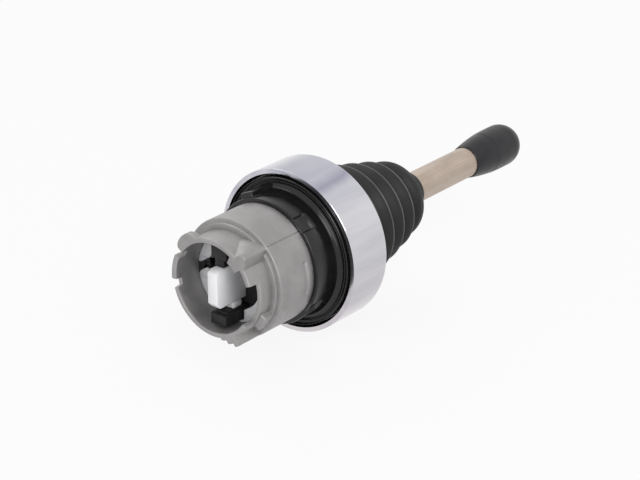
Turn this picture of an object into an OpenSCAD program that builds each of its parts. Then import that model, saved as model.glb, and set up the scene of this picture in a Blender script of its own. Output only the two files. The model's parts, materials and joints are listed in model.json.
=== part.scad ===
// Joystick operator head for a standard 22 mm panel hole, with a lever that tilts four ways.
// The lever points along -Y and the contact side faces +Y. The origin lies on the lever axis,
// in the plane where the head seats on the panel. Every piece is drawn with its axis along Z,
// Z = 0 at the panel seat and Z positive towards the knob, and is then laid over by placed().
// Clock angles are seen from behind, anticlockwise from three o'clock.

/* [Panel fit] */
// Diameter of the gasket sleeve that fills the panel hole
sleeve_d = 22.2; // [21.8:0.1:22.6]
// Length of the sleeve behind the panel seat
sleeve_l = 5.2; // [3.5:0.1:6.5]
// Diameter of the barrel behind the sleeve
barrel_d = 20.7; // [20.3:0.1:21]
// Distance from the panel seat back to the barrel shoulder
barrel_l = 13.3; // [12.5:0.1:14.5]

/* [Rear crown] */
// Outer diameter of the crown behind the shoulder
crown_d = 17.3; // [17:0.1:17.8]
// Length of the crown
crown_l = 5.3; // [5:0.1:7]
// Bore of the crown
crown_bore_d = 15.6; // [15.2:0.1:15.8]
// Depth of the crown notches
notch_depth = 2.2; // [1:0.1:3]
// Reach of the bayonet ribs from the axis
rib_reach = 10.3; // [9.5:0.1:10.35]
// Reach of the round lobe from the axis
lobe_reach = 10; // [9.4:0.1:10.3]
// Depth of the inner locking lug
inner_lug = 0.95; // [0.5:0.05:1.2]

/* [Flange and bezel] */
// Thickness of the flange
flange_t = 3; // [2.8:0.1:3.2]
// Height of the front collar above the flange
collar_h = 2.3; // [2:0.1:3]
// Outer diameter of the bezel
bezel_d = 29; // [28.4:0.1:30.5]
// Wall of the bezel round the flange
bezel_wall = 1.2; // [1:0.1:1.4]
// Thickness of the front lip of the bezel
bezel_lip = 1; // [0.7:0.1:1.4]
// Gap between the rear rim of the bezel and the panel
bezel_gap = 0.3; // [0.1:0.1:0.8]
// Width of the front lip of the bezel
bezel_lip_w = 3; // [2.4:0.1:3.2]
// Thickness of the gasket between the panel and the flange
gasket_t = 1.9; // [1.6:0.1:2.2]
// Height of the sealing lips of the gasket
gasket_lip = 0.5; // [0.3:0.1:0.7]

/* [Boot] */
// Thickness of the boot's clamped rim
rim_t = 1.2; // [0.9:0.1:1.6]
// Distance from the panel seat to the first crest
first_crest = 12.4; // [12.2:0.1:13.2]
// Diameter over the first crest
first_crest_d = 22.3; // [21.6:0.1:22.6]
// Distance between crests
fold_pitch = 4.2; // [3.8:0.1:4.6]
// Radius lost from one crest to the next
fold_taper = 1; // [0.7:0.05:1.1]
// Depth of the folds
fold_depth = 1.9; // [1.2:0.1:2.2]
// Wall of the boot
boot_wall = 0.7; // [0.5:0.1:0.9]
// Length of the sleeve that hugs the lever
boot_neck = 3.2; // [2.5:0.1:4.5]

/* [Lever] */
// Diameter of the lever rod
lever_d = 5.7; // [5.2:0.1:6]
// Distance from the panel seat to the rear edge of the knob
knob_start = 51.9; // [46:0.5:60]
// Length of the knob
knob_l = 15.1; // [13:0.1:18]
// Diameter of the knob
knob_d = 8; // [7.4:0.1:9]
// Depth of the rod inside the knob
knob_socket = 9.5; // [7:0.1:10.5]

/* [Gimbal] */
// Distance from the panel seat to the tilt centre
pivot_z = 3.4; // [3.3:0.1:3.5]
// Diameter of the pivot pins
pin_d = 1.8; // [1.5:0.1:2]
// Outer diameter of the gimbal ring
gimbal_d = 15.8; // [15.4:0.1:16.2]
// Bore of the gimbal ring
gimbal_bore = 10.6; // [10.4:0.1:11]
// Height of the gimbal ring
gimbal_h = 3.2; // [3:0.1:3.4]
// Diameter of the hub on the lever
hub_d = 8.4; // [8:0.1:8.6]

/* [Rocker and plungers] */
// Distance from the tilt centre to the rear face of the rocker
rocker_drop = 5.6; // [5.4:0.1:5.8]
// Thickness of the rocker
rocker_t = 1.4; // [1.2:0.1:1.6]
// Diameter over the arms of the rocker
rocker_d = 15; // [14.6:0.1:15.2]
// Width of the arms of the rocker
rocker_arm = 5.2; // [4.6:0.1:5.6]
// Distance from the wall of the crown bore to the middle of each plunger
plunger_inset = 1.7; // [1.6:0.05:1.8]
// Diameter of the plunger stems
stem_d = 1.5; // [1.3:0.1:1.6]
// Diameter of the plunger caps
cap_d = 3.5; // [3.3:0.1:3.6]
// Height of the plunger caps
cap_h = 1.8; // [1.6:0.1:2]
// Distance from the panel seat back to the ends of the upper and lower plungers
tall_plunger_end = 17.1; // [16.6:0.1:17.2]
// Distance from the panel seat back to the ends of the side plungers
short_plunger_end = 13.1; // [12.6:0.1:13.3]

/* [Plunger guide] */
// Distance from the panel seat back to the rear face of the guide disc
guide_end = 13.2; // [13:0.1:13.4]
// Width of the ledge that the guide disc seats on
guide_ledge = 1.2; // [1:0.05:1.3]
// Distance from the panel seat back to the seat of the guide disc
guide_seat = 11.2; // [11:0.1:11.4]
// Height of the guide disc above its seat
guide_rise = 2.6; // [2.4:0.1:2.8]
// Diameter of the hub of the black guide cross
core_d = 11.2; // [10.8:0.1:11.6]
// Thickness of the black guide cross
core_t = 1; // [0.8:0.1:1.2]
// Depth of the black cross in the rear face of the guide disc
core_depth = 1.8; // [1.4:0.1:2]
// Thickness of the key blade
key_t = 1.75; // [1.4:0.05:2]
// Height of the key blade
key_h = 7.7; // [7:0.1:8]

/* [Fits] */
// Radial clearance between pieces that are fixed together
fit = 0.03; // [0.02:0.01:0.06]
// Radial clearance of a running pin
run_gap = 0.04; // [0.02:0.01:0.08]
// Clearance of a plunger in its slot
slide_gap = 0.15; // [0.1:0.01:0.2]
// Rest gap between the rocker and a plunger cap
cap_gap = 0.4; // [0.35:0.01:0.5]

/* [Hidden] */
$fn = 96;

// Colours
zinc = [0.63, 0.62, 0.60];
chrome = [0.86, 0.86, 0.90];
rubber = [0.13, 0.12, 0.13];
nickel = [0.74, 0.68, 0.62];
grip = [0.20, 0.19, 0.20];
white_plastic = [0.90, 0.90, 0.92];
black_plastic = [0.12, 0.12, 0.12];
steel = [0.72, 0.73, 0.75];

cut = 0.01;                                  // overshoot of a cutter past the face it opens
barrel_r = barrel_d / 2;
gasket_seat_r = barrel_r - 0.15;             // barrel under the gasket, which keeps it in place
crown_r = crown_d / 2;
crown_bore_r = crown_bore_d / 2;
plunger_r = crown_bore_r - plunger_inset;
shoulder_z = -barrel_l;
rear_z = shoulder_z - crown_l;
rib_z = rear_z + 0.1;                        // the ribs stand back a little from the rear face
ledge_t = 0.6;                               // height of the stepped ledge behind the shoulder
ledge_r = (barrel_r + crown_r) / 2 + 0.1;
edge = 0.25;                                 // small chamfer on cast and turned edges

bezel_r = bezel_d / 2;
bezel_hole_r = bezel_r - bezel_lip_w;
flange_r = bezel_r - bezel_wall;
flange_z = gasket_t;
flange_top = flange_z + flange_t;
collar_r = flange_r - 0.4;
collar_z = flange_top + collar_h;
chamber_r = crown_bore_r + guide_ledge;      // bore round the mechanism
rim_top = collar_z + rim_t;
bezel_z = rim_top + bezel_lip;

lever_r = lever_d / 2;
hub_r = hub_d / 2;
hub_top = pivot_z + 6;
hub_foot = pivot_z - 2.2;                    // where the hub narrows to its tail
socket_z = pivot_z + 2;                      // bottom of the rod's socket
lever_pin_z = pivot_z + 4;
lever_pin_d = 1.3;
tail_r = 2.4;
spigot_r = 2;
knob_end = knob_start + knob_l;
rod_end = knob_start + knob_socket;

rocker_z = pivot_z - rocker_drop;            // rear face of the rocker
rocker_top = rocker_z + rocker_t;
clip_t = 0.45;                               // thickness of the small spring clips
clip_groove = 0.4;                           // depth of the clip's groove
clip_rim = 0.9;                              // how far the clip stands out of the tail
clip_mouth = 1.8;
clip_play = 0.03;                            // axial play of a clip in its groove
cap_top = rocker_z - cap_gap;
cap_z = cap_top - cap_h;
cap_dome = 0.8;                              // height of the domed end of a cap
cap_socket = 0.9;                            // depth of the stem in its cap

guide_z = -guide_end;
guide_step_z = -guide_seat;
guide_top = guide_step_z + guide_rise;
guide_r = crown_bore_r - 0.1;
guide_flange_r = chamber_r - 0.05;
plunger_stroke = 1.35;                       // travel of a plunger each way
block_in = plunger_r - 0.85;                 // inner end of a plunger's rear block
block_out = plunger_r + 1;                   // outer end of a plunger's rear block
neck_in = plunger_r - 1.15;                  // inner end of the step beside the key blade
tall_block_w = 3.3;
short_block_w = 2.5;
neck_w = 2.2;
block_top = guide_z + 1.8;                   // front end of a plunger's block
slot_top = block_top + plunger_stroke + slide_gap;
core_z = guide_z + core_depth;               // rear face of the black cross
tall_arm_w = tall_block_w + 0.9;
short_arm_w = short_block_w + 1.1;
foot_r = 2.4;                                // round foot of the key blade
foot_top = core_z + core_t + 0.6;
key_end = rear_z + 0.1;
key_chamfer = 0.9;
centre_coil_r = spigot_r + 1.5;              // mean radius of the centring spring
centre_wire_r = 0.3;
plunger_coil_r = stem_d / 2 + 0.5;           // mean radius of a plunger spring
plunger_wire_r = 0.22;
coil_turns = 5;
seat_gap = 0.02;                             // end of a spring to its seat
ring_clip_t = 0.8;                           // thickness of the internal circlip
ring_clip_groove = 0.45;                     // depth of its groove

// Lays a piece over, so that its axis points forward along -Y.
module placed() {
    rotate([90, 0, 0]) children();
}

// Turns children drawn towards +X to a clock angle seen from behind.
module at_clock(angle) {
    rotate([0, 0, 180 - angle]) children();
}

// Ring sector between two radii, two clock angles and two heights.
module sector(r_in, r_out, from, to, z_low, z_high) {
    at_clock(to)
        rotate_extrude(angle = to - from)
            translate([r_in, z_low])
                square([r_out - r_in, z_high - z_low]);
}

// Straight pin along X through a point on the axis.
module cross_pin(d, length, z) {
    translate([0, 0, z]) rotate([0, 90, 0]) cylinder(d = d, h = length, center = true);
}

// Circular section of a coil at one angle of its helix.
function coil_section(mean_r, wire_r, turn, z, sides) =
    [for (k = [0 : sides - 1])
        let (a = 360 * k / sides, r = mean_r + wire_r * cos(a))
            [r * cos(turn), r * sin(turn), z + wire_r * sin(a)]];

// Compression spring with closed ends between two heights.
module coil(mean_r, wire_r, z_low, z_high, turns) {
    sides = 8;
    steps = 16;
    total = turns * steps;
    rise = z_high - z_low - 2 * wire_r;
    closed = 1.05 * 2 * wire_r / rise;       // share of the height taken by one closed turn
    // The first and last turns lie flat, and the rest rise evenly.
    function lift(t) = t < 1 ? closed * t
                     : t > turns - 1 ? 1 - closed * (turns - t)
                     : closed + (1 - 2 * closed) * (t - 1) / (turns - 2);
    points = [for (i = [0 : total])
        each coil_section(mean_r, wire_r, 360 * i / steps,
                          z_low + wire_r + rise * lift(i / steps), sides)];
    sides_faces = [for (i = [0 : total - 1], k = [0 : sides - 1])
        let (a = i * sides + k, b = i * sides + (k + 1) % sides)
            each [[a, b, b + sides], [a, b + sides, a + sides]]];
    start_cap = [for (k = [0 : sides - 1]) sides - 1 - k];
    end_cap = [for (k = [0 : sides - 1]) total * sides + k];
    polyhedron(points, concat(sides_faces, [start_cap, end_cap]));
}

// Die-cast housing: crown, barrel, flange and front collar.
module housing() {
    color(zinc) placed() difference() {
        union() {
            rotate_extrude() polygon([
                [crown_bore_r, rear_z], [crown_r - edge, rear_z], [crown_r, rear_z + edge],
                [crown_r, shoulder_z - ledge_t], [ledge_r, shoulder_z - ledge_t],
                [ledge_r, shoulder_z], [barrel_r - edge, shoulder_z],
                [barrel_r, shoulder_z + edge], [barrel_r, -sleeve_l], [gasket_seat_r, -sleeve_l],
                [gasket_seat_r, flange_z], [flange_r, flange_z],
                [flange_r, flange_top], [collar_r, flange_top], [collar_r, collar_z],
                [chamber_r, collar_z], [chamber_r, guide_step_z],
                [crown_bore_r, guide_step_z]]);
            crown_ribs();
            // locking lug inside the mouth
            sector(crown_bore_r - inner_lug, crown_bore_r + 0.2, 40, 60, rib_z, rear_z + 1.4);
        }
        crown_notches();
        // groove of the circlip that holds the guide disc
        translate([0, 0, guide_top + clip_play])
            cylinder(r = chamber_r + ring_clip_groove, h = ring_clip_t + 2 * clip_play);
        cross_pin(pin_d + 2 * fit, 2 * flange_r + 1, pivot_z);
        barrel_groove();
    }
}

// Bayonet ribs, stop block and round lobe on the outside of the crown.
module crown_ribs() {
    root = crown_r - 0.4;
    base_z = shoulder_z + 0.4;               // the ribs run into the barrel
    lobe_r = 2.7;
    lobe_l = 1.7;
    stop_l = 2.3;
    // gabled rib on the right, highest at 47 degrees
    translate([0, 0, rib_z]) linear_extrude(base_z - rib_z) polygon([
        for (p = [[root, 37.5], [crown_r + 0.1, 38], [rib_reach - 0.1, 45], [rib_reach, 47],
                  [rib_reach - 0.3, 50], [crown_r + 0.1, 66], [root, 66]])
            [-p[0] * cos(p[1]), p[0] * sin(p[1])]]);
    sector(root, crown_r + 0.35, -78, -69.9, rib_z, base_z);
    sector(root, rib_reach - 0.65, -70, -61.9, rib_z, base_z);
    sector(root, rib_reach, -62, -57, rib_z, base_z);
    sector(root, crown_r + 0.25, 152, 180.1, rib_z, rear_z + notch_depth + 0.4);
    // stop block on the stepped ledge
    sector(root, barrel_r - 0.3, -42, -24, shoulder_z - stop_l, base_z);
    at_clock(126) difference() {
        translate([lobe_reach - lobe_r, 0, rib_z]) cylinder(r = lobe_r, h = lobe_l);
        translate([0, 0, rear_z]) cylinder(r = root, h = lobe_l + 1);
    }
}

// Notches cut into the rear edge of the crown.
module crown_notches() {
    depth_z = rear_z + notch_depth;
    for (span = [[-35, 18], [143, 150], [180, 195]])
        sector(crown_bore_r - 1, barrel_r + 1, span[0], span[1], rear_z - 1, depth_z);
}

// Shallow curved groove on the barrel just behind the gasket.
module barrel_groove() {
    groove_z = -sleeve_l - 2;
    sector(barrel_r - 0.3, barrel_r + 1, -12, 19, groove_z, groove_z + 0.7);
}

// Rubber gasket: sleeve in the panel hole, flange, sealing lips and locating tab.
module panel_gasket() {
    sleeve_r = sleeve_d / 2;
    in_r = gasket_seat_r + fit;
    out_r = flange_r - 0.1;
    lip_w = 0.3;
    lip_step = 0.62;
    root_fillet = 0.7;
    color(rubber) placed() difference() {
        union() {
            rotate_extrude() polygon(concat(
                [[in_r, -sleeve_l], [sleeve_r - edge, -sleeve_l], [sleeve_r, edge - sleeve_l]],
                [for (a = [0 : 15 : 90])
                    [sleeve_r + root_fillet * (1 - cos(a)),
                     gasket_lip - root_fillet * (1 - sin(a))]],
                [[out_r, gasket_lip], [out_r, gasket_t], [in_r, gasket_t]]));
            for (i = [0 : 2])
                rotate_extrude() translate([out_r - lip_w - i * lip_step, 0])
                    polygon([[0, 0], [lip_w, 0], [lip_w + 0.08, gasket_lip + cut],
                             [-0.08, gasket_lip + cut]]);
            // anti-rotation tab
            sector(sleeve_r - 0.3, sleeve_r + 0.9, 107, 120, 0.6 - sleeve_l, gasket_lip);
        }
        // shallow pockets moulded into the sleeve
        for (span = [[43, 58], [-40, -27]])
            sector(sleeve_r - 0.35, sleeve_r + 1, span[0], span[1],
                   -sleeve_l - 1, 2.6 - sleeve_l);
    }
}

// Chromed bezel that clamps the boot against the collar.
module bezel_ring() {
    in_r = flange_r + fit;
    round_r = 0.8;
    color(chrome) placed() rotate_extrude() polygon(concat(
        [[in_r + 0.35, bezel_gap], [bezel_r - 0.15, bezel_gap], [bezel_r, bezel_gap + 0.15]],
        [for (a = [0 : 15 : 90])
            [bezel_r - round_r * (1 - cos(a)), bezel_z - round_r * (1 - sin(a))]],
        [[bezel_hole_r + 0.3, bezel_z], [bezel_hole_r, bezel_z - 0.3], [bezel_hole_r, rim_top],
         [in_r, rim_top], [in_r, gasket_t - 0.5]]));
}

function crest_z(i) = first_crest + i * fold_pitch;
function crest_r(i) = first_crest_d / 2 - i * fold_taper;
function valley_z(i) = crest_z(i) - 0.68 * fold_pitch;
function valley_r(i) = crest_r(i) - fold_depth;

// Rubber bellows between the bezel and the lever: four folds, a dome and a neck.
module boot() {
    folds = 4;
    crest_flat = 0.35;
    rim_r = collar_r - 0.2;
    waist_r = bezel_hole_r - 0.3;
    dome_z = crest_z(folds) - 0.7;
    dome_r = crest_r(folds);
    dome_l = 2.8;
    neck_r = lever_r + 1.45;
    neck_z = dome_z + dome_l;
    neck_end = neck_z + boot_neck;
    hug_r = lever_r + 0.12;
    // Convex rear side of a fold, from its valley to its crest.
    function fold_side(i, z_top, r_top) = [for (t = [0 : 0.2 : 1])
        [valley_r(i) + (r_top - valley_r(i)) * (1 - pow(1 - t, 1.8)),
         valley_z(i) + (z_top - valley_z(i)) * t]];
    outside = concat(
        [[rim_r, collar_z], [rim_r, rim_top], [waist_r, rim_top], [waist_r, bezel_z - 0.2],
         [valley_r(0) + 0.8, bezel_z + 0.2]],
        [for (i = [0 : folds - 1]) each concat(
            i == 0 ? [for (t = [0.4 : 0.2 : 1])
                [valley_r(0) + fold_depth * (1 - pow(1 - t, 1.8)),
                 valley_z(0) + (crest_z(0) - valley_z(0)) * t]]
                   : fold_side(i, crest_z(i), crest_r(i)),
            [[crest_r(i) - 0.08, crest_z(i) + crest_flat]])],
        fold_side(folds, dome_z, dome_r),
        [for (a = [15 : 15 : 90])
            [neck_r + (dome_r - neck_r) * cos(a), dome_z + dome_l * sin(a)]],
        [[neck_r - 0.35, neck_z + 0.4 * boot_neck], [neck_r - 0.7, neck_end - 0.35],
         [neck_r - 0.95, neck_end]]);
    inside = concat(
        [[hug_r, neck_end], [hug_r, neck_z + 0.3], [hug_r + 0.6, neck_z - boot_wall],
         [(neck_r + dome_r) / 2 - boot_wall, dome_z + 0.75 * dome_l - boot_wall],
         [dome_r - 1.2 * boot_wall, dome_z - 0.2]],
        [for (k = [0 : folds - 1]) let (i = folds - 1 - k) each
            [[valley_r(i + 1) - boot_wall, valley_z(i + 1) + 0.1],
             [crest_r(i) - 1.4 * boot_wall, crest_z(i)]]],
        [[rim_r - 3.2, bezel_z], [rim_r - 3.2, collar_z]]);
    color(rubber) placed() rotate_extrude() polygon(concat(outside, inside));
}

// Nickel-plated rod, cross-drilled for the pin that holds it in its hub.
module lever_shaft() {
    color(nickel) placed() difference() {
        rotate_extrude() polygon([
            [0, socket_z], [lever_r - edge, socket_z], [lever_r, socket_z + edge],
            [lever_r, rod_end - 0.5], [lever_r - 0.5, rod_end], [0, rod_end]]);
        cross_pin(lever_pin_d + 2 * fit, lever_d + 1, lever_pin_z);
    }
}

// Grip pressed on the end of the rod: it swells from the rod and ends in a round nose.
module knob() {
    knob_r = knob_d / 2;
    mouth_r = lever_r + 0.22;
    swell_l = 0.58 * knob_l;
    nose_z = knob_end - knob_r;
    color(grip) placed() difference() {
        rotate_extrude() polygon(concat(
            [[0, knob_start], [mouth_r - 0.1, knob_start]],
            [for (t = [0 : 0.125 : 1])
                [mouth_r + (knob_r - mouth_r) * (1 - pow(1 - t, 2)),
                 knob_start + 0.15 + (swell_l - 0.15) * t]],
            [for (a = [0 : 7.5 : 90]) [knob_r * cos(a), nose_z + knob_r * sin(a)]]));
        translate([0, 0, knob_start - cut])
            cylinder(r = lever_r + fit, h = knob_socket + 0.2);
    }
}

// Hub that joins the rod to the gimbal and carries the rocker on its tail.
module lever_hub() {
    clip_groove_r = spigot_r - clip_groove;
    spigot_end = rocker_z - clip_t - 0.75;
    color(steel) placed() difference() {
        rotate_extrude() polygon([
            [0, spigot_end], [spigot_r - edge, spigot_end], [spigot_r, spigot_end + edge],
            [spigot_r, rocker_z - clip_t - clip_play],
            [clip_groove_r, rocker_z - clip_t - clip_play],
            [clip_groove_r, rocker_z], [spigot_r, rocker_z],
            [spigot_r, rocker_top], [tail_r, rocker_top], [tail_r, hub_foot],
            [hub_r, hub_foot], [hub_r, hub_top - 0.6], [hub_r - 0.6, hub_top], [0, hub_top]]);
        translate([0, 0, socket_z])
            cylinder(r = lever_r + fit, h = hub_top);
        rotate([0, 0, 90]) cross_pin(pin_d + 2 * run_gap, hub_d + 1, pivot_z);
        cross_pin(lever_pin_d + 2 * fit, hub_d + 1, lever_pin_z);
    }
}

// Pin through the hub and the rod.
module lever_pin() {
    color(steel) placed() cross_pin(lever_pin_d, hub_d - 0.3, lever_pin_z);
}

// Ring between the housing and the hub: it turns on one pair of pins and carries the other.
module gimbal_ring() {
    color(steel) placed() translate([0, 0, pivot_z]) difference() {
        cylinder(d = gimbal_d, h = gimbal_h, center = true);
        cylinder(d = gimbal_bore, h = gimbal_h + 1, center = true);
        cross_pin(pin_d + 2 * run_gap, gimbal_d + 1, 0);
        rotate([0, 0, 90]) cross_pin(pin_d + 2 * fit, gimbal_d + 1, 0);
    }
}

// The two pins on which the gimbal ring turns in the housing.
module gimbal_pins() {
    inner = gimbal_bore / 2 + 0.5;
    outer = flange_r - 0.3;
    color(steel) placed() for (side = [-1, 1])
        translate([side * (inner + outer) / 2, 0, 0])
            cross_pin(pin_d, outer - inner, pivot_z);
}

// The pin on which the hub turns in the gimbal ring.
module hub_pin() {
    color(steel) placed() rotate([0, 0, 90]) cross_pin(pin_d, gimbal_d - 0.5, pivot_z);
}

// Four-armed rocker that presses one plunger for each direction of the lever.
module rocker_plate() {
    color(steel) placed() translate([0, 0, rocker_z]) difference() {
        intersection() {
            cylinder(d = rocker_d, h = rocker_t);
            union() {
                for (turn = [0, 90]) rotate([0, 0, turn])
                    translate([-rocker_d / 2, -rocker_arm / 2, 0])
                        cube([rocker_d, rocker_arm, rocker_t]);
                cylinder(d = rocker_d - 5, h = rocker_t);
            }
        }
        translate([0, 0, -cut]) cylinder(r = spigot_r + fit, h = rocker_t + 1);
    }
}

// Open clip that holds the rocker on the tail.
module rocker_clip() {
    color(steel) placed() translate([0, 0, rocker_z - clip_t - clip_play / 2]) difference() {
        cylinder(r = spigot_r + clip_rim, h = clip_t);
        translate([0, 0, -cut]) cylinder(r = spigot_r - clip_groove + fit, h = clip_t + 1);
        translate([0, -clip_mouth / 2, -cut]) cube([spigot_r + 2, clip_mouth, clip_t + 1]);
    }
}

// Spring that presses the rocker square to the axis and centres the lever.
module centre_spring() {
    color(steel) placed()
        coil(centre_coil_r, centre_wire_r, guide_top + seat_gap, rocker_z - seat_gap, coil_turns);
}

// White guide: it closes the crown and guides the four plungers.
module guide_disc() {
    color(white_plastic) placed() difference() {
        union() {
            translate([0, 0, guide_z]) cylinder(r = guide_r, h = guide_end - guide_seat + cut);
            translate([0, 0, guide_step_z]) cylinder(r = guide_flange_r, h = guide_rise);
        }
        for (turn = [0 : 90 : 270]) rotate([0, 0, turn])
            translate([plunger_r, 0, guide_z - cut])
                cylinder(r = stem_d / 2 + slide_gap, h = guide_end);
        plunger_slots(block_out + slide_gap);
        translate([0, 0, guide_z - cut]) core_outline(core_depth + core_t + fit, fit);
        translate([0, 0, guide_z - cut])
            cylinder(r = foot_r + fit, h = foot_top - guide_z + 2 * fit);
    }
}

// Slot for one plunger block, open to the rear and reaching out to a given radius.
module plunger_slot(width, reach) {
    translate([neck_in - slide_gap, -width / 2 - slide_gap, rear_z])
        cube([reach - neck_in + slide_gap, width + 2 * slide_gap, slot_top - rear_z]);
}

// The four plunger slots.
module plunger_slots(reach) {
    for (turn = [90, 270]) rotate([0, 0, turn]) plunger_slot(tall_block_w, reach);
    for (turn = [0, 180]) rotate([0, 0, turn]) plunger_slot(short_block_w, reach);
}

// Round hub with four arms, as tall as asked and grown by a clearance.
module core_outline(height, grow) {
    reach = guide_r - 0.3 + grow;
    intersection() {
        cylinder(r = reach, h = height);
        union() {
            cylinder(r = core_d / 2 + grow, h = height);
            for (arm = [[0, short_arm_w], [90, tall_arm_w]])
                rotate([0, 0, arm[0]])
                    translate([-reach, -arm[1] / 2 - grow, 0])
                        cube([2 * reach, arm[1] + 2 * grow, height]);
        }
    }
}

// Black cross set into the rear of the white guide round the plunger slots.
module guide_core() {
    color(black_plastic) placed() difference() {
        translate([0, 0, core_z]) core_outline(core_t, 0);
        plunger_slots(guide_r);
        translate([0, 0, core_z - cut]) cylinder(r = foot_r + fit, h = core_t + 1);
    }
}

// White key blade in the middle of the crown, with its locating tab and round foot.
module key_blade() {
    tab_t = 1;
    tab_h = 0.9;
    tab_l = 2.4;
    tab_z = guide_z - 1.4;
    low = -key_h / 2 + 0.1;
    high = key_h / 2 + 0.1;
    color(white_plastic) placed() {
        rotate([90, 0, 90]) translate([0, 0, -key_t / 2]) linear_extrude(key_t) polygon([
            [low + key_chamfer, key_end], [high - key_chamfer, key_end],
            [high, key_end + key_chamfer], [high, core_z], [low, core_z],
            [low, key_end + key_chamfer]]);
        translate([-tab_t / 2, low - tab_h, tab_z]) cube([tab_t, tab_h + 0.1, tab_l]);
        translate([0, 0, core_z]) cylinder(r = foot_r, h = foot_top - core_z);
    }
}

// Internal circlip that holds the guide disc in the barrel.
module guide_clip() {
    color(steel) placed() translate([0, 0, guide_top + 1.5 * clip_play]) difference() {
        cylinder(r = chamber_r + ring_clip_groove - 0.05, h = ring_clip_t);
        translate([0, 0, -cut]) cylinder(r = chamber_r - 0.8, h = ring_clip_t + 1);
        translate([0, -1.6, -cut]) cube([chamber_r + 2, 3.2, ring_clip_t + 1]);
    }
}

// Plunger on the +X side: rear block, step beside the key blade, and stem.
module plunger(width, end) {
    color(black_plastic) {
        translate([block_in, -width / 2, -end])
            cube([block_out - block_in, width, end + block_top]);
        translate([neck_in, -neck_w / 2, 0.9 - end])
            cube([block_in - neck_in + cut, neck_w, end - 0.9 + block_top]);
        translate([plunger_r, 0, block_top - cut])
            cylinder(d = stem_d, h = cap_z + cap_socket - block_top);
    }
}

// Domed cap pressed on a plunger stem.
module cap() {
    dome_r = (pow(cap_d / 2, 2) + pow(cap_dome, 2)) / (2 * cap_dome);
    color(white_plastic) translate([plunger_r, 0, 0]) difference() {
        intersection() {
            translate([0, 0, cap_z]) cylinder(d = cap_d, h = cap_h);
            translate([0, 0, cap_top - dome_r]) sphere(r = dome_r);
        }
        translate([0, 0, cap_z - cut]) cylinder(r = stem_d / 2 + fit, h = cap_socket + 2 * fit);
    }
}

// Spring between the guide disc and a plunger cap.
module plunger_spring() {
    color(steel) translate([plunger_r, 0, 0])
        coil(plunger_coil_r, plunger_wire_r, guide_top + seat_gap, cap_z - seat_gap, coil_turns);
}

module plunger_up() { placed() rotate([0, 0, 90]) plunger(tall_block_w, tall_plunger_end); }
module plunger_down() { placed() rotate([0, 0, 270]) plunger(tall_block_w, tall_plunger_end); }
module plunger_right() { placed() plunger(short_block_w, short_plunger_end); }
module plunger_left() { placed() rotate([0, 0, 180]) plunger(short_block_w, short_plunger_end); }
module cap_up() { placed() rotate([0, 0, 90]) cap(); }
module cap_down() { placed() rotate([0, 0, 270]) cap(); }
module cap_right() { placed() cap(); }
module cap_left() { placed() rotate([0, 0, 180]) cap(); }
module spring_up() { placed() rotate([0, 0, 90]) plunger_spring(); }
module spring_down() { placed() rotate([0, 0, 270]) plunger_spring(); }
module spring_right() { placed() plunger_spring(); }
module spring_left() { placed() rotate([0, 0, 180]) plunger_spring(); }

housing();
panel_gasket();
bezel_ring();
boot();
lever_shaft();
knob();
lever_hub();
lever_pin();
gimbal_ring();
gimbal_pins();
hub_pin();
rocker_plate();
rocker_clip();
centre_spring();
guide_disc();
guide_core();
key_blade();
guide_clip();
plunger_up();
plunger_down();
plunger_left();
plunger_right();
cap_up();
cap_down();
cap_left();
cap_right();
spring_up();
spring_down();
spring_left();
spring_right();
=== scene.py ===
"""Panel joystick head: visual model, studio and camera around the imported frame."""
import bmesh
import bpy
import json
import math
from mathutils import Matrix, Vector


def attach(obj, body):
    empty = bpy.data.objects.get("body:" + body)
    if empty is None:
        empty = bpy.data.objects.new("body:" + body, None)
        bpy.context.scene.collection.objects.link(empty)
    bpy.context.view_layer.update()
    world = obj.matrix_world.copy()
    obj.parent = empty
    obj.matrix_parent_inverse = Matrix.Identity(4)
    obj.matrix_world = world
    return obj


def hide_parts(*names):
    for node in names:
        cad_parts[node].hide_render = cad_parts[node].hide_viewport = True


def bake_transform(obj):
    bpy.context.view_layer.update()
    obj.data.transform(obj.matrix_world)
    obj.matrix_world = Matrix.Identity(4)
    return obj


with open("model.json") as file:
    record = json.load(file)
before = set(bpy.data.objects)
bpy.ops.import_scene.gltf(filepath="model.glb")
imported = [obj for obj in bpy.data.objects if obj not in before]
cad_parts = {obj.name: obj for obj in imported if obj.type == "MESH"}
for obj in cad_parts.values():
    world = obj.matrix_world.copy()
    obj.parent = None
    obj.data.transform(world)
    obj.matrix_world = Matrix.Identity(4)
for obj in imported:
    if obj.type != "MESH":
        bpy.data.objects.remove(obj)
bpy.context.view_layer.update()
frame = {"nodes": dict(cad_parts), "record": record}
nodes = frame["nodes"]

# ---------------------------------------------------------------- shared sizes
# Sizes are in millimetres, as in the part's source. A point is given by its
# radius from the lever axis, its clock angle seen from behind and its height z
# in front of the panel seat, and lies at (-r cos a, -z, r sin a) in the frame.
MM = 0.001
TURN = 360

# housing
CROWN_R = 8.65
CROWN_BORE_R = 7.8
REAR_Z = -18.6
LEDGE_R = 9.6
LEDGE_T = 0.6
SHOULDER_Z = -13.3                           # where the crown meets the barrel
BARREL_R = 10.35
GUIDE_STEP_Z = -11.2                         # step in the bore that the guide rests on
CHAMBER_R = 9.0
SEAT_R = 10.2                                # housing under the gasket
FLANGE_R = 13.3
FLANGE_Z = 1.9
FLANGE_TOP = 4.9
COLLAR_R = 12.9
COLLAR_Z = 7.2

# gasket and bezel
SLEEVE_R = 11.1
SLEEVE_END = -5.2
GASKET_R = 13.2
GASKET_LIP = 0.5
BEZEL_R = 14.5
BEZEL_Z = 9.4
BEZEL_HOLE_R = 11.5
RIM_TOP = 8.4                                # front of the boot's clamped rim

# lever
LEVER_R = 2.85
SOCKET_Z = 5.4
ROD_END = 61.4
KNOB_START = 51.9
KNOB_R = 4.0
KNOB_END = 67.0


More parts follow.
